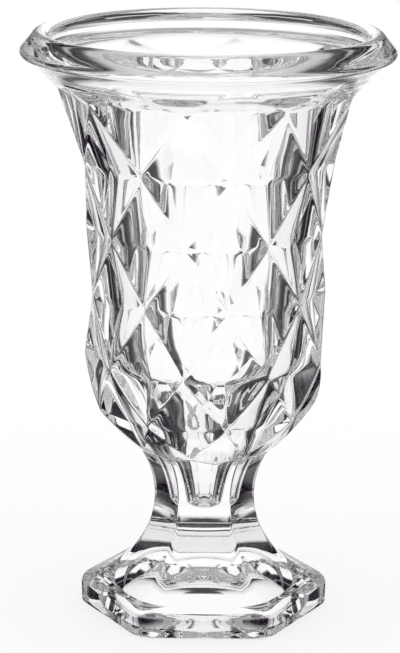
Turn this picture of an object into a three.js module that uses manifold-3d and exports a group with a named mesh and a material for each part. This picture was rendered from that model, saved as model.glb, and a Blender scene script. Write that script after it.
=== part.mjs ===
// A footed vase of clear pressed glass, about 30 cm tall, made of two pressings bonded at the waist.
// The bowl carries rings of raised points. Ridges run from point to point round hollow diamonds.
// Below the bowl a hexagonal stem narrows to the waist, and the foot spreads out to a hexagonal base.
// Millimetres, +Z up. The origin is on the axis, on the plane that the foot stands on; the front is at -Y.
import * as THREE from "three";
import { mergeVertices } from "three/addons/utils/BufferGeometryUtils.js";
import Module from "manifold-3d";

// Main sizes. The body is the bowl's patterned part, and its radius is that of the points halfway up.
const vaseHeight = 299.2;
const rimRadius = 94;
const bodyRadius = 61;
const bodyBase = 88;
const footRadius = 65.5;

// Foot: a hexagon, measured from the axis to its corners before they are rounded
const footEdgeHeight = 12.5;
const footEdgeRound = 3;
const footCornerRound = 5;
const footFlareTurn = THREE.MathUtils.degToRad(64);
const footChamfer = 1;
const footHollowRadius = 44;
const footHollowDepth = 16;

// Waist, where the two pressings meet in a flat bond below the bowl's cavity
const waistRadius = 26;
const waistHeight = 58;
const stemCornerRound = 2;
const stemFlareTurn = THREE.MathUtils.degToRad(55);
const bondHeight = 50;
const bondThickness = 0.4;

// Bowl: rings of raised points from its base up, each turned half a step from the one below.
// rise is a share of the body's height, girth of its radius, and hollow of the diamonds' depth.
const columns = 9;
const rings = [
  { rise: 0, girth: 0.631, hollow: 0.25 },
  { rise: 0.113, girth: 0.931, hollow: 1.1 },
  { rise: 0.259, girth: 1.013, hollow: 1 },
  { rise: 0.443, girth: 0.993, hollow: 1 },
  { rise: 0.619, girth: 1, hollow: 1 },
  { rise: 0.809, girth: 1.056, hollow: 1 },
  { rise: 1, girth: 1.233, hollow: 0.28 },
];
const diamondDepth = 3.6;
const diamondSag = 2.5;
const bellyBands = 2;
const bellyBulge = 1.2;
const bellySteps = 3;
const undersideDrop = 7;
const undersideInset = 10.5;

// Neck and rim: a smooth flare above the top ring, ending in a thick bead. Lenses are cut low into it.
const lensRise = 12.4;
const flareRise = 16.6;
const flareControlRise = 10.2;
const flareControlReach = 6.2;
const beadHeight = 13;
const beadWidth = 13.4;
const beadLean = 5;
const beadCornerRound = 1.4;
const beadTopRound = 4;
const lipRound = 4.5;

// Cavity: a smooth hollow left by the plunger. It follows the upper rings at a wall that thickens downwards,
// tapers through the basin, whose points are given like the rings, and ends in a narrow bore inside the stem.
const walls = [15, 12, 10, 9, 7];
const basin = [
  { rise: 0.05, girth: 0.328 },
  { rise: 0.132, girth: 0.492 },
];
const boreFloor = 53.5;
const boreTipRadius = 9.2;
const boreTipRise = 5;
const boreTopRadius = 14;
const boreTopDrop = 6;

// Fineness of the round surfaces, a multiple of the columns so that they meet the points exactly
const turnSteps = 6 * columns;
const arcSteps = 4;
const flareSteps = 8;
const cavitySteps = 27;
const weldDistance = 1e-4;

const wasm = await Module();
wasm.setup();

const sides = 6;
const halfStep = Math.PI / columns;
const firstPoint = -halfStep / 2;
const straight = Math.cos(halfStep);
const bodyTop = vaseHeight - flareRise - beadHeight;
const mouthRadius = rimRadius - beadWidth;
const heightOf = (rise) => THREE.MathUtils.lerp(bodyBase, bodyTop, rise);
const pointRings = rings.map(({ rise, girth, hollow }) => {
  return { height: heightOf(rise), radius: bodyRadius * girth, depth: diamondDepth * hollow };
});
const topRing = pointRings.at(-1);
const baseRing = pointRings[0];
const rimWidestHeight = topRing.height + flareRise + beadCornerRound;
const bowlBottom = bondHeight + bondThickness / 2;
const footTop = bondHeight - bondThickness / 2;

// A point at an angle from the front, counted towards +X
function polar(angle, radius, height) {
  return new THREE.Vector3(radius * Math.sin(angle), -radius * Math.cos(angle), height);
}

// Closed triangles as a solid that can be joined and cut
function solidOf(geometry) {
  const bare = new THREE.BufferGeometry();
  bare.setAttribute("position", geometry.getAttribute("position"));
  bare.setIndex(geometry.index);
  const merged = mergeVertices(bare, weldDistance);
  const corners = [];
  for (let i = 0; i < merged.index.count; i += 3) {
    const face = [0, 1, 2].map((k) => merged.index.getX(i + k));
    if (new Set(face).size === 3) {
      corners.push(...face);
    }
  }
  const vertProperties = merged.getAttribute("position").array;
  const triVerts = new Uint32Array(corners);
  return new wasm.Manifold(new wasm.Mesh({ numProp: 3, vertProperties, triVerts }));
}

// A solid back as geometry with flat faces
function geometryOf(solid) {
  const mesh = solid.getMesh();
  const geometry = new THREE.BufferGeometry();
  geometry.setAttribute("position", new THREE.BufferAttribute(mesh.vertProperties, 3));
  geometry.setIndex(new THREE.BufferAttribute(mesh.triVerts, 1));
  const flat = geometry.toNonIndexed();
  flat.computeVertexNormals();
  return flat;
}

// A list of corner points, three to a triangle, as geometry
function geometryFrom(triangles) {
  return new THREE.BufferGeometry().setFromPoints(triangles);
}

// A profile of (radius, height) turned about the axis, from its lower end on the axis to its upper one
function revolve(profile) {
  const turned = new THREE.LatheGeometry(profile, turnSteps, firstPoint);
  turned.rotateX(Math.PI / 2);
  return solidOf(turned);
}

// An arc of (radius, height) about a centre, between two angles from the outward direction
function arc(radius, height, round, from, to) {
  const points = [];
  for (let i = 0; i <= arcSteps; i++) {
    const angle = THREE.MathUtils.lerp(from, to, i / arcSteps);
    points.push(new THREE.Vector2(radius + round * Math.cos(angle), height + round * Math.sin(angle)));
  }
  return points;
}

// Points of a curve that leaves the waist upright and turns outwards to an end point
function flareOut(endRadius, endHeight, turn, steps) {
  const points = [];
  for (let i = 0; i <= steps; i++) {
    const angle = (turn * i) / steps;
    const out = (1 - Math.cos(angle)) / (1 - Math.cos(turn));
    const along = Math.sin(angle) / Math.sin(turn);
    const radius = THREE.MathUtils.lerp(waistRadius, endRadius, out);
    points.push(new THREE.Vector2(radius, THREE.MathUtils.lerp(waistHeight, endHeight, along)));
  }
  return points;
}

// The radius of a rising profile at a height
function radiusAt(profile, height) {
  const upper = profile.findIndex((point) => point.y >= height);
  const below = profile[Math.max(upper - 1, 0)];
  const above = profile[upper];
  const share = above === below ? 0 : (height - below.y) / (above.y - below.y);
  return THREE.MathUtils.lerp(below.x, above.x, share);
}

// A hexagon with rounded corners, its flat sides to the front and back
function hexagon(radius, round, height) {
  const apothem = radius * Math.cos(Math.PI / sides);
  const centre = (apothem - round) / Math.cos(Math.PI / sides);
  const points = [];
  for (let side = 0; side < sides; side++) {
    const corner = ((side + 0.5) * 2 * Math.PI) / sides;
    for (let i = 0; i <= arcSteps; i++) {
      const turn = corner + THREE.MathUtils.lerp(-Math.PI / sides, Math.PI / sides, i / arcSteps);
      points.push(polar(corner, centre, height).add(polar(turn, round, 0)));
    }
  }
  return points;
}

// Level rings of points, from the lowest up, skinned and closed at both ends
function loft(rings) {
  const triangles = [];
  const count = rings[0].length;
  for (let level = 1; level < rings.length; level++) {
    for (let i = 0; i < count; i++) {
      const next = (i + 1) % count;
      const low = rings[level - 1];
      const high = rings[level];
      triangles.push(high[i], low[i], low[next], high[i], low[next], high[next]);
    }
  }
  const bottom = rings[0];
  const top = rings.at(-1);
  const bottomCentre = new THREE.Vector3(0, 0, bottom[0].z);
  const topCentre = new THREE.Vector3(0, 0, top[0].z);
  for (let i = 0; i < count; i++) {
    const next = (i + 1) % count;
    triangles.push(bottomCentre, bottom[next], bottom[i], topCentre, top[i], top[next]);
  }
  return solidOf(geometryFrom(triangles));
}

// One ring of the pattern as points and the middles of the hollows between them, in turn
function patternRing(level, radius, height, middleRadius, middleHeight) {
  const ring = [];
  for (let i = 0; i < 2 * columns; i++) {
    const angle = firstPoint + i * halfStep;
    const raised = (i + level) % 2 === 0;
    ring.push(polar(angle, raised ? radius : middleRadius, raised ? height : middleHeight));
  }
  return ring;
}

// The facets between two rings, split along the ridges that join their points
function patternBand(triangles, lower, upper, level, steps, bulge) {
  const bowed = (from, to, share) => {
    const point = from.clone().lerp(to, share);
    const out = 1 + (4 * bulge * share * (1 - share)) / Math.hypot(point.x, point.y);
    return point.set(point.x * out, point.y * out, point.z);
  };
  for (let i = 0; i < 2 * columns; i++) {
    const next = (i + 1) % (2 * columns);
    const startsRaised = (i + level) % 2 === 0;
    const ridge = startsRaised ? [lower[i], upper[next]] : [lower[next], upper[i]];
    for (let step = 0; step < steps; step++) {
      const low = step / steps;
      const high = (step + 1) / steps;
      const strips = [[lower[i], upper[i]], ridge, [lower[next], upper[next]]];
      for (let side = 0; side < 2; side++) {
        const [a, b] = [strips[side], strips[side + 1]];
        const corners = [bowed(...a, high), bowed(...a, low), bowed(...b, low), bowed(...b, high)];
        triangles.push(corners[0], corners[1], corners[2], corners[0], corners[2], corners[3]);
      }
    }
  }
}

// The flare's outer line, from the top ring of points to the underside of the bead
function flareLine() {
  const start = new THREE.Vector2(topRing.radius, topRing.height);
  const control = new THREE.Vector2(topRing.radius + flareControlReach, topRing.height + flareControlRise);
  const end = new THREE.Vector2(rimRadius - beadCornerRound, topRing.height + flareRise);
  return new THREE.QuadraticBezierCurve(start, control, end).getPoints(flareSteps);
}

// The patterned body, from its underside inside the stem up to the top ring. Above that ring the same outline
// widens to the flare at the tops of the lenses, and from there it stays clear of the rim.
function patternedBody() {
  const topLevel = pointRings.length - 1;
  const topMiddle = topRing.radius * straight - topRing.depth;
  const lensTop = topRing.height + lensRise;
  const lensSpread = radiusAt(flareLine(), lensTop) / topMiddle;
  const clearSpread = (2 * rimRadius) / topMiddle;
  const levels = pointRings.map(({ height, radius, depth }, level) => {
    const sag = level === topLevel ? 0 : diamondSag;
    return patternRing(level, radius, height, radius * straight - depth, height - sag);
  });
  for (const [spread, height] of [[lensSpread, lensTop], [clearSpread, vaseHeight + lipRound]]) {
    levels.push(patternRing(topLevel, spread * topRing.radius, height, spread * topMiddle, height));
  }
  const undersideRadius = baseRing.radius - undersideInset;
  const undersideHeight = baseRing.height - undersideDrop;
  const underside = patternRing(0, undersideRadius, undersideHeight, undersideRadius, undersideHeight);
  const triangles = [];
  patternBand(triangles, underside, levels[0], 1, 1, 0);
  for (let level = 1; level < levels.length; level++) {
    const isBelly = level <= bellyBands;
    const steps = isBelly ? bellySteps : 1;
    const bulge = isBelly ? bellyBulge : 0;
    patternBand(triangles, levels[level - 1], levels[level], level - 1, steps, bulge);
  }
  const top = levels.at(-1);
  const topCentre = new THREE.Vector3(0, 0, top[0].z);
  const bottomCentre = new THREE.Vector3(0, 0, undersideHeight);
  for (let i = 0; i < 2 * columns; i++) {
    const next = (i + 1) % (2 * columns);
    triangles.push(topCentre, top[i], top[next], bottomCentre, underside[next], underside[i]);
  }
  return solidOf(geometryFrom(triangles));
}

// The turned outside: straight up to the top ring, then the flare and its bead, closed across the mouth
function turnedOutside() {
  const beadTopRadius = rimRadius - beadLean - beadTopRound;
  const lean = Math.atan2(beadLean, vaseHeight - beadTopRound - rimWidestHeight);
  const corner = arc(rimRadius - beadCornerRound, rimWidestHeight, beadCornerRound, -Math.PI / 4, lean);
  const crest = arc(beadTopRadius, vaseHeight - beadTopRound, beadTopRound, lean, Math.PI / 2);
  return revolve([
    new THREE.Vector2(0, bowlBottom),
    new THREE.Vector2(topRing.radius, bowlBottom),
    ...flareLine(),
    ...corner,
    ...crest,
    new THREE.Vector2(0, vaseHeight),
  ]);
}

// The stem, from the bond up into the base of the bowl, where its corners meet points of the lowest ring
function stem() {
  const line = flareOut(baseRing.radius, baseRing.height, stemFlareTurn, flareSteps);
  const seat = new THREE.Vector2(radiusAt(footLine(), bowlBottom), bowlBottom);
  return loft([seat, ...line].map((point) => hexagon(point.x, stemCornerRound, point.y)));
}

// The space that holds water and stems, opened upwards past the rim
function cavity() {
  const walled = pointRings.slice(-walls.length).map(({ height, radius }, level) => {
    return new THREE.Vector2(radius * straight - walls[level], height);
  });
  const lipHeight = vaseHeight - lipRound;
  const line = new THREE.SplineCurve([
    new THREE.Vector2(boreTipRadius, boreFloor + boreTipRise),
    new THREE.Vector2(boreTopRadius, bodyBase - boreTopDrop),
    ...basin.map(({ rise, girth }) => new THREE.Vector2(bodyRadius * girth, heightOf(rise))),
    ...walled,
    new THREE.Vector2(mouthRadius, lipHeight),
  ]);
  const tip = arc(0, 0, 1, -Math.PI / 2, 0).map(({ x, y }) => {
    return new THREE.Vector2(boreTipRadius * x, boreFloor + boreTipRise * (1 + y));
  });
  const lip = arc(mouthRadius + lipRound, lipHeight, lipRound, Math.PI, Math.PI / 2);
  return revolve([
    ...tip,
    ...line.getPoints(cavitySteps).slice(1, -1),
    ...lip,
    new THREE.Vector2(mouthRadius + lipRound, vaseHeight + lipRound),
    new THREE.Vector2(0, vaseHeight + lipRound),
  ]);
}

function bowl() {
  return patternedBody().intersect(turnedOutside()).add(stem()).subtract(cavity());
}

// The line of the foot's corners, from the edge's rounding up to the waist
function footLine() {
  const endRadius = footRadius - footEdgeRound;
  return flareOut(endRadius, footEdgeHeight + footEdgeRound, footFlareTurn, 2 * flareSteps).reverse();
}

// The foot, from its standing face up to the bond, hollowed underneath
function foot() {
  const flare = footLine();
  const line = flare.filter((point) => point.y < footTop);
  line.push(new THREE.Vector2(radiusAt(flare, footTop), footTop));
  const shoulder = arc(footRadius - footEdgeRound, footEdgeHeight, footEdgeRound, 0, Math.PI / 2);
  const outline = [
    new THREE.Vector2(footRadius - footChamfer, 0),
    new THREE.Vector2(footRadius, footChamfer),
    ...shoulder.slice(0, -1),
    ...line,
  ];
  const cornerRound = (height) => THREE.MathUtils.lerp(footCornerRound, stemCornerRound, height / footTop);
  const body = loft(outline.map((point) => hexagon(point.x, cornerRound(point.y), point.y)));
  const domeRadius = (footHollowRadius ** 2 + footHollowDepth ** 2) / (2 * footHollowDepth);
  const domeAngle = Math.asin(footHollowRadius / domeRadius);
  const dome = arc(0, footHollowDepth - domeRadius, domeRadius, Math.PI / 2 - domeAngle, Math.PI / 2);
  const hollow = revolve([
    new THREE.Vector2(0, -footHollowDepth),
    new THREE.Vector2(footHollowRadius, -footHollowDepth),
    ...dome,
  ]);
  return body.subtract(hollow);
}

// The clear layer between the two flat faces at the waist
function bond() {
  const radius = radiusAt(footLine(), footTop);
  return loft([footTop, bowlBottom].map((height) => hexagon(radius, stemCornerRound, height)));
}

const vase = new THREE.Group();
const glass = { roughness: 0.03, metalness: 0, transparent: true };
const pieces = [
  ["bowl", bowl(), { color: 0xf1f4f6, opacity: 0.35, ...glass }],
  ["bond", bond(), { color: 0xdfe3e6, opacity: 0.5, ...glass }],
  ["foot", foot(), { color: 0xeef2f4, opacity: 0.4, ...glass }],
];
for (const [name, solid, look] of pieces) {
  const mesh = new THREE.Mesh(geometryOf(solid), new THREE.MeshStandardMaterial(look));
  mesh.name = name;
  vase.add(mesh);
}

export default vase;
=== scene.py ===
import math

import bpy
import numpy as np
from mathutils import Matrix


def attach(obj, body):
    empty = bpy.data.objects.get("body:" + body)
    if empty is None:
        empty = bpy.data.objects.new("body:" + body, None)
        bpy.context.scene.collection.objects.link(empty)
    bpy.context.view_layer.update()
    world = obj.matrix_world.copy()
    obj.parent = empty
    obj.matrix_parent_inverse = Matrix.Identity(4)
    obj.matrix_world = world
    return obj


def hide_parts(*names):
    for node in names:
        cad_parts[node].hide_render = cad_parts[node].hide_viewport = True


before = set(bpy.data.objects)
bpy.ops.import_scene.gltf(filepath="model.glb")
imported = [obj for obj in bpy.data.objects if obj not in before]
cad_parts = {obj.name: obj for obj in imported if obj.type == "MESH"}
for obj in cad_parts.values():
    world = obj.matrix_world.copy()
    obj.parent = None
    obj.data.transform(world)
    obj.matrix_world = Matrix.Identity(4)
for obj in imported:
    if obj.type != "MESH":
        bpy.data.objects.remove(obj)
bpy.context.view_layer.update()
scene = bpy.context.scene
print("frame:", sorted(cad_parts))

# all sizes below are millimetres, scaled when a mesh is made
mm = 0.001

bowlSet = {
    "columns": 9,
    "rings": [                  # height and radius of the points, from the lowest ring up
        (88.0, 38.5), (108.5, 56.8), (135.0, 61.8), (168.4, 60.6),
        (200.4, 61.0), (234.9, 64.4), (269.6, 75.2),
    ],
    "hollow": [0.9, 4.0, 3.6, 3.6, 3.6, 3.6, 1.0],   # how far the middles lie inside the line between points
    "sag": [2.5, 2.5, 2.5, 2.5, 2.5, 2.5, 0.0],      # how far the middles lie below the points
    "bulge": 1.2,               # how far the lowest bands swell
    "bulgeBands": 2,
    "cells": 20,                # mesh cells along one side of a facet
    "stemRows": 30,
    "stemCrowd": 1.4,           # draws the stem's rows together under the bowl
    "flareRows": 24,
    "cornerSteps": 6,
    "crestSteps": 10,
    "lipSteps": 12,
    "cavityRows": 60,
    "tipSteps": 8,
    "softColumns": 0.5,         # rounding of ridges, in cells round and up
    "softRows": 0.5,
    "underDrop": 2.0,           # ledge over the stem: its height, and how far in from the lowest points
    "underInset": 8.0,
    "lensRise": 12.4,           # lenses that run out in the flare
    "lensDish": 0.8,
    "flareRise": 16.6,
    "flareControl": (6.2, 10.2),
    "rimRadius": 94.0,
    "beadHeight": 13.0,
    "beadLean": 5.0,
    "beadCorner": 3.0,
    "beadTop": 5.0,
    "mouthRadius": 79.6,
    "lipRound": 4.5,
    "lipGap": 0.05,             # leaves out points of the lip that would double the crest's end
    "wall": [15.0, 12.0, 10.0, 9.0, 7.0],   # at the upper rings, where the cavity follows the outside
    "tip": (9.2, 53.5, 5.0),    # radius, floor and rise of the cavity's rounded end
    "bore": [(14.0, 82.0), (20.0, 97.0), (30.0, 112.0)],
    "throat": [(74.6, 280.0), (78.2, 287.0)],   # the cavity inside the bead
}
stemSet = {
    "waistRadius": 26.0,
    "waistHeight": 58.0,
    "stemTurn": math.radians(55),
    "cornerRound": 2.0,
    "joint": 50.0,
    "jointGap": 0.4,
}
footSet = {
    "radius": 65.5,
    "edgeHeight": 9.5,
    "edgeRound": 6.0,
    "cornerRound": 14.0,
    "turn": math.radians(64),
    "chamfer": 0.8,
    "chamferShare": 0.3,
    "hollowRadius": 41.0,
    "hollowDepth": 17.0,
    "flareRows": 40,
    "shoulderSteps": 8,
    "edgeRows": 6,
    "ringRows": 10,
    "domeRows": 24,
}
lineSteps = 200                 # fineness of the curves that rows are read from
farOut = 100.0                  # outside the flare, where no lens reaches

halfStep = math.pi / bowlSet["columns"]
firstPoint = -halfStep / 2
sectors = 2 * bowlSet["columns"]
cells = bowlSet["cells"]
around = sectors * cells
angles = firstPoint + halfStep * np.arange(around) / cells
topHeight, topRadius = bowlSet["rings"][-1]
rimHeight = topHeight + bowlSet["flareRise"] + bowlSet["beadHeight"]


def ringOf(radius, height):
    radius, height = (np.broadcast_to(np.asarray(v, float), (around,)) for v in (radius, height))
    return np.stack([radius * np.sin(angles), -radius * np.cos(angles), height], axis=1)


def arcPoints(radius, height, roundR, start, end, steps):
    turn = np.linspace(start, end, steps + 1)
    return [(radius + roundR * math.cos(t), height + roundR * math.sin(t)) for t in turn]


def catmullRom(points, steps):
    pts = np.array(points, float)
    out = []
    last = len(pts) - 1
    for t in np.linspace(0, last, steps + 1):
        i = min(int(t), last - 1)
        w = t - i
        p0, p1, p2, p3 = pts[max(i - 1, 0)], pts[i], pts[i + 1], pts[min(i + 2, last)]
        v0, v1 = (p2 - p0) / 2, (p3 - p1) / 2
        out.append((2 * p1 - 2 * p2 + v0 + v1) * w**3 + (-3 * p1 + 3 * p2 - 2 * v0 - v1) * w**2 + v0 * w + p1)
    return out


# a hexagon's radius at every column, flat side to the front
def hexRadius(corner, roundR):
    apothem = corner * math.cos(math.pi / 6)
    phi = (angles + math.pi / 6) % (math.pi / 3) - math.pi / 6
    centre = (apothem - roundR) / math.cos(math.pi / 6)
    flatEnd = np.arctan2((apothem - roundR) * math.tan(math.pi / 6), apothem)
    delta = math.pi / 6 - np.abs(phi)
    bend = centre * np.cos(delta) + np.sqrt(np.maximum(roundR**2 - (centre * np.sin(delta)) ** 2, 0))
    return np.where(np.abs(phi) < flatEnd, apothem / np.cos(phi), bend)


# a line that leaves the waist upright and turns outwards to an end point
def flareOut(endRadius, endHeight, turn, steps):
    t = turn * np.linspace(0, 1, steps + 1)
    out = (1 - np.cos(t)) / (1 - math.cos(turn))
    along = np.sin(t) / math.sin(turn)
    radius = stemSet["waistRadius"] + (endRadius - stemSet["waistRadius"]) * out
    height = stemSet["waistHeight"] + (endHeight - stemSet["waistHeight"]) * along
    return radius, height


def smoothRows(grid, rowSigma, columnSigma):
    def kernel(sigma):
        reach = max(int(math.ceil(4 * sigma)), 1)
        k = np.exp(-0.5 * (np.arange(-reach, reach + 1) / sigma) ** 2)
        return k / k.sum(), reach
    k, reach = kernel(columnSigma)
    padded = np.concatenate([grid[:, -reach:], grid, grid[:, :reach]], axis=1)
    soft = sum(w * padded[:, i:i + grid.shape[1]] for i, w in enumerate(k))
    k, reach = kernel(rowSigma)
    low = 2 * soft[:1] - soft[reach:0:-1]
    high = 2 * soft[-1:] - soft[-2:-reach - 2:-1]
    padded = np.concatenate([low, soft, high], axis=0)
    return sum(w * padded[i:i + soft.shape[0]] for i, w in enumerate(k))


def patternRing(level, radius, height, midRadius, midHeight):
    ring = []
    for i in range(sectors + 1):
        a = firstPoint + i * halfStep
        raised = (i + level) % 2 == 0
        r, z = (radius, height) if raised else (midRadius, midHeight)
        ring.append((r * math.sin(a), -r * math.cos(a), z))
    return np.array(ring)


# mesh points over flat facets, split along the ridge between points
def facetRows(low, high, level, bulge):
    u = np.arange(cells) / cells
    v = (np.arange(cells) / cells)[:, None]
    rows = np.zeros((cells, around, 3))
    for s in range(sectors):
        a, b, c, d = low[s], low[s + 1], high[s], high[s + 1]
        uu, vv = (np.broadcast_to(x, (cells, cells))[..., None] for x in (u[None, :], v))
        if (s + level) % 2 == 0:
            nearA = a + uu * (b - a) + vv * (d - b)
            farSide = a + vv * (c - a) + uu * (d - c)
            points = np.where(uu >= vv, nearA, farSide)
        else:
            nearA = a + uu * (b - a) + vv * (c - a)
            farSide = d + (1 - uu) * (c - d) + (1 - vv) * (b - d)
            points = np.where(uu + vv <= 1, nearA, farSide)
        rows[:, s * cells:(s + 1) * cells] = points
    out = 1 + 4 * bulge * v * (1 - v) / np.maximum(np.hypot(rows[..., 0], rows[..., 1]), 1)
    rows[..., :2] *= out[..., None]
    return rows


# radius of straight edges from each point of the top ring to the middles beside it
def chordRadius(pointRadius, midRadius):
    turn = (angles - firstPoint) % (2 * halfStep)
    turn = np.minimum(turn, 2 * halfStep - turn)
    return (pointRadius * midRadius * math.sin(halfStep)
            / (pointRadius * np.sin(turn) + midRadius * np.sin(halfStep - turn)))


def bowlOutside():
    straight = math.cos(halfStep)
    rings = []
    for level, (height, radius) in enumerate(bowlSet["rings"]):
        mid = radius * straight - bowlSet["hollow"][level]
        rings.append(patternRing(level, radius, height, mid, height - bowlSet["sag"][level]))
    body = [facetRows(rings[i], rings[i + 1], i, bowlSet["bulge"] if i < bowlSet["bulgeBands"] else 0)
            for i in range(len(rings) - 1)]

    # stem below the lowest points, joined with the bowl's underside
    baseHeight, baseRadius = bowlSet["rings"][0]
    stemR, stemZ = flareOut(baseRadius, baseHeight, stemSet["stemTurn"], lineSteps)
    bottom = stemSet["joint"] + stemSet["jointGap"] / 2
    footR, footZ = footLine()
    lowRing = np.hypot(body[0][0][:, 0], body[0][0][:, 1])
    lowHeight = body[0][0][:, 2]
    inset = baseRadius - bowlSet["underInset"]
    stem = []
    for share in np.linspace(0, 1, bowlSet["stemRows"] + 1)[:-1]:
        height = bottom + (lowHeight - bottom) * (1 - (1 - share) ** bowlSet["stemCrowd"])
        above = height > stemSet["waistHeight"]
        corner = np.where(above, np.interp(height, stemZ, stemR), np.interp(height, footZ, footR))
        r = hexRadius(corner, stemSet["cornerRound"])
        ledge = (height - (lowHeight - bowlSet["underDrop"])) / bowlSet["underDrop"]
        under = np.where(ledge > 0, inset + (lowRing - inset) * np.minimum(ledge, 1), 0)
        stem.append(ringOf(np.maximum(r, under), height))

    # flare with the lenses that run out above the top row
    end = (bowlSet["rimRadius"] - bowlSet["beadCorner"], topHeight + bowlSet["flareRise"])
    control = (topRadius + bowlSet["flareControl"][0], topHeight + bowlSet["flareControl"][1])
    t = np.linspace(0, 1, lineSteps)
    flareR = (1 - t) ** 2 * topRadius + 2 * t * (1 - t) * control[0] + t**2 * end[0]
    flareZ = (1 - t) ** 2 * topHeight + 2 * t * (1 - t) * control[1] + t**2 * end[1]
    lensMid = topRadius * straight - bowlSet["hollow"][-1]
    growth = np.interp(topHeight + bowlSet["lensRise"], flareZ, flareR) / lensMid - 1
    edge = chordRadius(topRadius, lensMid)
    clear = flareZ > topHeight + bowlSet["lensRise"]
    scaled = edge[:, None] * (1 + growth * (flareZ - topHeight) / bowlSet["lensRise"]) + farOut * clear
    runOut = flareZ[np.argmax(scaled >= flareR - 1e-6, axis=1)] - topHeight
    flare = []
    for height in np.linspace(topHeight, end[1], bowlSet["flareRows"] + 1):
        rise = height - topHeight
        lens = edge * (1 + growth * rise / bowlSet["lensRise"]) + farOut * (rise > bowlSet["lensRise"])
        share = np.clip(rise / np.maximum(runOut, 0.01), 0, 1)
        dish = 4 * bowlSet["lensDish"] * share * (1 - share) * runOut / bowlSet["lensRise"]
        flare.append(ringOf(np.minimum(np.interp(height, flareZ, flareR), lens) - dish, height))
    rows = np.concatenate([np.array(stem), *body, np.array(flare)], axis=0)
    return smoothRows(rows, bowlSet["softRows"], bowlSet["softColumns"])


def rimProfile():
    widest = topHeight + bowlSet["flareRise"] + bowlSet["beadCorner"]
    lean = math.atan2(bowlSet["beadLean"], rimHeight - bowlSet["beadTop"] - widest)
    cornerX = bowlSet["rimRadius"] - bowlSet["beadCorner"]
    corner = arcPoints(cornerX, widest, bowlSet["beadCorner"], -math.pi / 4, lean, bowlSet["cornerSteps"])
    crestX = bowlSet["rimRadius"] - bowlSet["beadLean"] - bowlSet["beadTop"]
    crestZ = rimHeight - bowlSet["beadTop"]
    crest = arcPoints(crestX, crestZ, bowlSet["beadTop"], lean, math.pi / 2, bowlSet["crestSteps"])
    lipX = bowlSet["mouthRadius"] + bowlSet["lipRound"]
    lipZ = rimHeight - bowlSet["lipRound"]
    lip = arcPoints(lipX, lipZ, bowlSet["lipRound"], math.pi / 2, math.pi, bowlSet["lipSteps"])
    return corner + crest + [p for p in lip if p[0] < crestX - bowlSet["lipGap"]]


def cavityProfile():
    straight = math.cos(halfStep)
    tipR, tipZ, tipRise = bowlSet["tip"]
    inner = [(tipR, tipZ + tipRise), *bowlSet["bore"]]
    for (height, radius), wall in zip(bowlSet["rings"][-len(bowlSet["wall"]):], bowlSet["wall"]):
        inner.append((radius * straight - wall, height))
    inner += [*bowlSet["throat"], (bowlSet["mouthRadius"], rimHeight - bowlSet["lipRound"])]
    line = [tuple(p) for p in catmullRom(inner, bowlSet["cavityRows"])]
    turn = np.linspace(-math.pi / 2, 0, bowlSet["tipSteps"] + 1)
    tip = [(tipR * math.cos(a), tipZ + tipRise * (1 + math.sin(a))) for a in turn]
    return (tip[1:-1] + line[:-1])[::-1], tipZ


def footLine():
    endRadius = footSet["radius"] - footSet["edgeRound"]
    endHeight = footSet["edgeHeight"] + footSet["edgeRound"]
    r, z = flareOut(endRadius, endHeight, footSet["turn"], lineSteps)
    return r[::-1], z[::-1]


# closed mesh from stacked rings, each end closed by a fan; in a band of facets the cells split along the ridges
def meshFromRings(name, rings, startCap, endCap, ridgeLevels=None):
    points = [tuple(p) for ring in rings for p in ring]
    faces = []
    for row in range(len(rings) - 1):
        level = ridgeLevels[row] if ridgeLevels else None
        for c in range(around):
            n = (c + 1) % around
            a, b = row * around + c, row * around + n
            d, e = (row + 1) * around + c, (row + 1) * around + n
            if level is None:
                faces.append((a, b, e, d))
            elif (c // cells + level) % 2 == 0:
                faces += [(a, b, e), (a, e, d)]
            else:
                faces += [(a, b, d), (b, e, d)]
    first, last = len(points), len(points) + 1
    points += [startCap, endCap]
    top = (len(rings) - 1) * around
    faces += [(first, (c + 1) % around, c) for c in range(around)]
    faces += [(last, top + c, top + (c + 1) % around) for c in range(around)]
    mesh = bpy.data.meshes.new(name)
    mesh.from_pydata([(x * mm, y * mm, z * mm) for x, y, z in points], [], faces)
    mesh.validate()
    mesh.update()
    obj = bpy.data.objects.new(name, mesh)
    scene.collection.objects.link(obj)
    return obj


glassSet = {
    "tint": (0.992, 0.982, 0.992),
    "bondTint": (0.975, 0.968, 0.975),
    "ior": 1.52,
    "waves": (70.0, 0.035),     # slow ripples of the pressed skin: how many in a metre, how strong
    "grain": (420.0, 0.008),
    "rippleHeight": 0.3,        # as a share of the ripples' spacing
    "haze": (45.0, 0.0, 0.012),     # patches of slight haze: how many in a metre, least and most roughness
    "hazeDetail": 3.0,
    "hazeSpan": (0.5, 0.8),     # part of the noise over which the haze comes in
    "sharpAngle": math.radians(35),
    "jointWithin": 0.02,        # how near a face lies to a joint's height to count as its face
}


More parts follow.
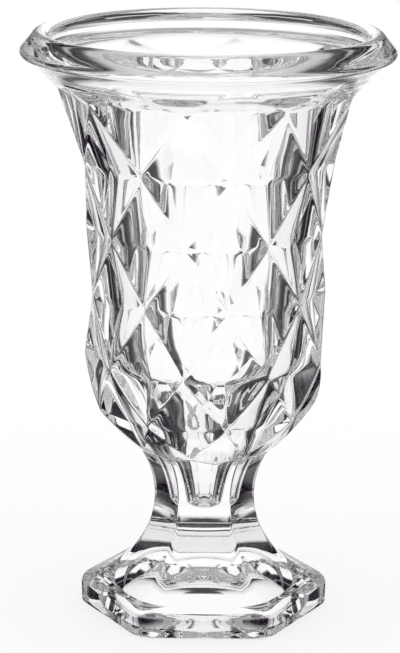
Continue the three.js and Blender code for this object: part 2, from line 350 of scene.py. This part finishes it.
# clear glass with the slow ripples and faint haze that a mould leaves
def glassMaterial(name, tint):
    mat = bpy.data.materials.new(name)
    mat.use_nodes = True
    nodes, links = mat.node_tree.nodes, mat.node_tree.links
    shader = nodes["Principled BSDF"]
    shader.inputs["Base Color"].default_value = (*tint, 1)
    shader.inputs["IOR"].default_value = glassSet["ior"]
    shader.inputs["Transmission Weight"].default_value = 1.0
    place = nodes.new("ShaderNodeTexCoord")

    def noise(scale, detail):
        node = nodes.new("ShaderNodeTexNoise")
        node.inputs["Scale"].default_value = scale
        node.inputs["Detail"].default_value = detail
        links.new(place.outputs["Object"], node.inputs["Vector"])
        return node.outputs["Fac"]

    skin = None
    for scale, strength in (glassSet["waves"], glassSet["grain"]):
        bump = nodes.new("ShaderNodeBump")
        bump.inputs["Strength"].default_value = strength
        bump.inputs["Distance"].default_value = glassSet["rippleHeight"] / scale
        links.new(noise(scale, 0.0), bump.inputs["Height"])
        if skin:
            links.new(skin, bump.inputs["Normal"])
        skin = bump.outputs["Normal"]
    links.new(skin, shader.inputs["Normal"])
    scale, least, most = glassSet["haze"]
    haze = nodes.new("ShaderNodeMapRange")
    haze.inputs["From Min"].default_value = glassSet["hazeSpan"][0]
    haze.inputs["From Max"].default_value = glassSet["hazeSpan"][1]
    haze.inputs["To Min"].default_value = least
    haze.inputs["To Max"].default_value = most
    links.new(noise(scale, glassSet["hazeDetail"]), haze.inputs["Value"])
    links.new(haze.outputs["Result"], shader.inputs["Roughness"])
    return mat


# nothing shows on the faces that the bond joins, so that the stem looks whole
def jointMaterial(name):
    mat = bpy.data.materials.new(name)
    mat.use_nodes = True
    shader = mat.node_tree.nodes["Principled BSDF"]
    shader.inputs["Alpha"].default_value = 0.0
    return mat


def finishGlass(obj, mats, jointHeights):
    mesh = obj.data
    within = glassSet["jointWithin"]
    for mat in mats:
        mesh.materials.append(mat)
    for face in mesh.polygons:
        face.use_smooth = True
        heights = [mesh.vertices[v].co.z / mm for v in face.vertices]
        flat = any(all(abs(z - h) < within for z in heights) for h in jointHeights)
        face.material_index = 1 if flat else 0
    mesh.set_sharp_from_angle(angle=glassSet["sharpAngle"])
    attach(obj, "root")


jointClear = jointMaterial("joint_clear")
bowlGlass = glassMaterial("bowl_glass", glassSet["tint"])
footGlass = glassMaterial("foot_glass", glassSet["tint"])
bondGlass = glassMaterial("bond_layer", glassSet["bondTint"])

outer = bowlOutside()
rimRings = [ringOf(r, z) for r, z in rimProfile()]
cavityLine, cavityFloor = cavityProfile()
cavityRings = [ringOf(r, z) for r, z in cavityLine]
rings = list(outer) + rimRings + cavityRings
jointTop = stemSet["joint"] + stemSet["jointGap"] / 2
jointLow = stemSet["joint"] - stemSet["jointGap"] / 2
levels = [None] * (len(rings) - 1)
for band in range(len(bowlSet["rings"]) - 1):
    for row in range(cells):
        levels[bowlSet["stemRows"] + band * cells + row] = band
bowlPiece = meshFromRings("bowl_visual", rings, (0, 0, jointTop), (0, 0, cavityFloor), levels)
finishGlass(bowlPiece, [bowlGlass, jointClear], [jointTop])
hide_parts("bowl")
print("bowl:", len(bowlPiece.data.polygons), "faces")


def footRings():
    line = []
    footR, footZ = footLine()
    edgeHeight, edgeRound = footSet["edgeHeight"], footSet["edgeRound"]
    for height in np.linspace(jointLow, edgeHeight + edgeRound, footSet["flareRows"]):
        line.append((np.interp(height, footZ, footR), height))
    shoulderX = footSet["radius"] - edgeRound
    line += arcPoints(shoulderX, edgeHeight, edgeRound, math.pi / 2, 0, footSet["shoulderSteps"])[1:]
    line += [(footSet["radius"], z) for z in np.linspace(edgeHeight, footSet["chamfer"], footSet["edgeRows"])[1:]]
    cut = footSet["chamfer"] * footSet["chamferShare"]
    line.append((footSet["radius"] - cut, cut))
    line.append((footSet["radius"] - footSet["chamfer"], 0.0))
    sharper = stemSet["cornerRound"] - footSet["cornerRound"]
    rounds = [footSet["cornerRound"] + sharper * z / jointLow for _, z in line]
    rings = [ringOf(hexRadius(r, k), z) for (r, z), k in zip(line, rounds)]
    edge = hexRadius(footSet["radius"] - footSet["chamfer"], footSet["cornerRound"])
    for t in np.linspace(0, 1, footSet["ringRows"])[1:]:
        rings.append(ringOf(edge + (footSet["hollowRadius"] - edge) * t, 0.0))
    dome = (footSet["hollowRadius"] ** 2 + footSet["hollowDepth"] ** 2) / (2 * footSet["hollowDepth"])
    reach = math.asin(footSet["hollowRadius"] / dome)
    for a in np.linspace(reach, 0, footSet["domeRows"])[1:-1]:
        rings.append(ringOf(dome * math.sin(a), footSet["hollowDepth"] - dome + dome * math.cos(a)))
    return rings


footPiece = meshFromRings("foot_visual", footRings()[::-1], (0, 0, footSet["hollowDepth"]), (0, 0, jointLow))
finishGlass(footPiece, [footGlass, jointClear], [jointLow])
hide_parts("foot")
print("foot:", len(footPiece.data.polygons), "faces")

footR, footZ = footLine()
bondCorner = np.interp(jointLow, footZ, footR)
bondRings = [ringOf(hexRadius(bondCorner, stemSet["cornerRound"]), z) for z in (jointLow, jointTop)]
bondPiece = meshFromRings("bond_visual", bondRings, (0, 0, jointLow), (0, 0, jointTop))
finishGlass(bondPiece, [bondGlass, jointClear], [jointLow, jointTop])
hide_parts("bond")
print("bond:", len(bondPiece.data.polygons), "faces")

studioSet = {
    "floorColour": (0.95, 0.95, 0.95),
    "floorReach": 4.0,
    "floorDrop": 0.4,           # keeps the floor clear of the foot's standing face
    "floorRough": 0.9,
    "floorShine": 0.1,
    "floorGlow": 0.7,           # how much of the floor's white is its own where it is seen
    "light": 1.05,
    "tentLight": 1.09,
    "shade": (0.004, 0.0, 0.006),   # faint violet of the dark sheets
    "tentSteps": 96,
    "tentStart": 0.001,         # radius of the innermost edge, in metres like the sheets below
    "tentDrop": -0.0002,
}
# sheets of a light tent, from under the foot out and up, in metres:
# outer radius, height, and grey by degrees from straight behind
tentSet = [
    # the dark parts of the three innermost sheets, under the foot, are painted shadow: they stand in for the
    # vase's shade on the floor, seen only in the glass
    (0.014, 0.0, [(0, 0.02), (70, 0.05), (110, 0.95), (180, 0.95)]),
    (0.045, 0.0, [(0, 0.02), (30, 0.04), (60, 0.7), (100, 0.95), (180, 0.95)]),
    (0.075, 0.0, [(0, 0.8), (28, 0.75), (36, 0.05), (60, 0.2), (90, 0.05), (180, 0.02)]),
    (0.2, 0.0, [(0, 0.95), (27, 0.95), (34, 0.1), (40, 0.0), (49, 0.0), (52, 0.6), (58, 0.5), (61, 0.0),
                (110, 0.05), (180, 0.25)]),
    (0.6, 0.0, [(0, 1.0), (29, 1.0), (32, 0.3), (36, 0.0), (42, 0.0), (44, 0.35), (46, 0.0), (62, 0.0),
                (66, 0.3), (70, 0.0), (84, 0.05), (100, 0.5), (180, 0.95)]),
    (0.6, 0.3, [(0, 1.0), (26, 1.0), (29, 0.5), (32, 0.0), (44, 0.0), (46, 0.25), (49, 0.0), (60, 0.0),
                (66, 0.45), (72, 0.0), (84, 0.05), (92, 0.5), (115, 0.6), (180, 0.5)]),
    (0.6, 0.45, [(0, 1.0), (11, 1.0), (16, 0.2), (22, 0.0), (45, 0.0), (55, 0.3), (65, 0.0), (80, 0.4),
                 (105, 0.9), (180, 0.6)]),
    (0.6, 0.72, [(0, 0.95), (12, 0.9), (18, 0.1), (24, 0.0), (45, 0.0), (65, 0.5), (100, 0.7), (180, 0.9)]),
    (0.02, 0.75, [(0, 0.35), (180, 0.35)]),
]


def studioWorld():
    world = bpy.data.worlds.new("studio")
    scene.world = world
    world.use_nodes = True
    plain = world.node_tree.nodes["Background"]
    plain.inputs["Color"].default_value = (1, 1, 1, 1)
    plain.inputs["Strength"].default_value = studioSet["light"]


def glowMaterial(name):
    mat = bpy.data.materials.new(name)
    mat.use_nodes = True
    shader = mat.node_tree.nodes["Principled BSDF"]
    shader.inputs["Base Color"].default_value = (0, 0, 0, 1)
    shader.inputs["Specular IOR Level"].default_value = 0.0
    shader.inputs["Emission Strength"].default_value = studioSet["tentLight"]
    return mat, shader


# one sheet of the light tent, its grey worked out from the direction round the vase
def sheetMaterial(name, greys):
    mat, shader = glowMaterial(name)
    nodes, links = mat.node_tree.nodes, mat.node_tree.links
    place = nodes.new("ShaderNodeNewGeometry")
    split = nodes.new("ShaderNodeSeparateXYZ")
    links.new(place.outputs["Position"], split.inputs["Vector"])
    turn = nodes.new("ShaderNodeMath")
    turn.operation = "ARCTAN2"
    links.new(split.outputs["X"], turn.inputs[0])
    links.new(split.outputs["Y"], turn.inputs[1])
    size = nodes.new("ShaderNodeMath")
    size.operation = "ABSOLUTE"
    links.new(turn.outputs["Value"], size.inputs[0])
    share = nodes.new("ShaderNodeMath")
    share.operation = "DIVIDE"
    share.inputs[1].default_value = math.pi
    links.new(size.outputs["Value"], share.inputs[0])
    ramp = nodes.new("ShaderNodeValToRGB")
    links.new(share.outputs["Value"], ramp.inputs["Fac"])
    stops = ramp.color_ramp.elements
    stops.remove(stops[-1])
    while len(stops) < len(greys):
        stops.new(1.0)
    for stop, (degrees, grey) in zip(stops, greys):
        stop.position = degrees / 180
        stop.color = (*(grey + (1 - grey) * c for c in studioSet["shade"]), 1)
    links.new(ramp.outputs["Color"], shader.inputs["Emission Color"])
    return mat


# a light tent round the vase, seen only in the glass
def lightTent():
    steps = studioSet["tentSteps"]
    turns = np.linspace(0, 2 * math.pi, steps, endpoint=False)
    rows = [(studioSet["tentStart"], 0.0)] + [(r, z) for r, z, _ in tentSet]
    points = [(r * math.sin(t), r * math.cos(t), z + studioSet["tentDrop"]) for r, z in rows for t in turns]
    faces = [(j * steps + k, j * steps + (k + 1) % steps, (j + 1) * steps + (k + 1) % steps, (j + 1) * steps + k)
             for j in range(len(tentSet)) for k in range(steps)]
    mesh = bpy.data.meshes.new("light_tent")
    mesh.from_pydata(points, [], faces)
    for j, (_, _, greys) in enumerate(tentSet):
        mesh.materials.append(sheetMaterial("tent_%d" % j, greys))
    for face in mesh.polygons:
        face.material_index = face.index // steps
    tent = bpy.data.objects.new("light_tent", mesh)
    scene.collection.objects.link(tent)
    tent.visible_camera = False
    tent.visible_diffuse = False
    tent.visible_shadow = False


# a white floor that glows a little where it is seen, so that its shadow stays faint
def studioFloor():
    mesh = bpy.data.meshes.new("floor")
    s = studioSet["floorReach"]
    z = -studioSet["floorDrop"] * mm
    mesh.from_pydata([(-s, -s, z), (s, -s, z), (s, s, z), (-s, s, z)], [], [(0, 1, 2, 3)])
    obj = bpy.data.objects.new("floor", mesh)
    scene.collection.objects.link(obj)
    mat = bpy.data.materials.new("floor_white")
    mat.use_nodes = True
    nodes, links = mat.node_tree.nodes, mat.node_tree.links
    shader = nodes["Principled BSDF"]
    shader.inputs["Base Color"].default_value = (*studioSet["floorColour"], 1)
    shader.inputs["Roughness"].default_value = studioSet["floorRough"]
    shader.inputs["Specular IOR Level"].default_value = studioSet["floorShine"]
    glow = nodes.new("ShaderNodeEmission")
    glow.inputs["Strength"].default_value = 1.0
    path = nodes.new("ShaderNodeLightPath")
    seen = path.outputs["Is Camera Ray"]
    for ray in ("Is Glossy Ray", "Is Transmission Ray"):
        either = nodes.new("ShaderNodeMath")
        either.operation = "MAXIMUM"
        links.new(seen, either.inputs[0])
        links.new(path.outputs[ray], either.inputs[1])
        seen = either.outputs["Value"]
    amount = nodes.new("ShaderNodeMath")
    amount.operation = "MULTIPLY"
    amount.inputs[1].default_value = studioSet["floorGlow"]
    links.new(seen, amount.inputs[0])
    mix = nodes.new("ShaderNodeMixShader")
    links.new(amount.outputs["Value"], mix.inputs["Fac"])
    links.new(shader.outputs["BSDF"], mix.inputs[1])
    links.new(glow.outputs["Emission"], mix.inputs[2])
    links.new(mix.outputs["Shader"], nodes["Material Output"].inputs["Surface"])
    mesh.materials.append(mat)


studioWorld()
studioFloor()
lightTent()

# camera fitted to the rim's ellipse and the foot
cameraSet = {
    "place": (0.0, -1.3005, 0.4838),
    "pitch": 14.5,
    "roll": 0.53,
    "sensor": 36,
    "focal": 2637 * 36 / 653,   # fitted in pixels of a picture 653 high
    "shiftX": -5.9 / 653,
}
camData = bpy.data.cameras.new("camera")
camera = bpy.data.objects.new("camera", camData)
scene.collection.objects.link(camera)
camData.sensor_fit = "AUTO"
camData.sensor_width = cameraSet["sensor"]
camData.lens = cameraSet["focal"]
camData.shift_x = cameraSet["shiftX"]
tilt = Matrix.Rotation(math.radians(90 - cameraSet["pitch"]), 4, "X")
lean = Matrix.Rotation(math.radians(cameraSet["roll"]), 4, "Z")
camera.matrix_world = Matrix.Translation(cameraSet["place"]) @ tilt @ lean
scene.camera = camera

scene.view_settings.view_transform = "Standard"
scene.cycles.caustics_refractive = True
glassBounces = 32               # thick glass with many faces needs long paths
scene.cycles.max_bounces = glassBounces
scene.cycles.transmission_bounces = glassBounces
scene.cycles.glossy_bounces = glassBounces // 2
scene.cycles.transparent_max_bounces = glassBounces
print("studio and camera set")
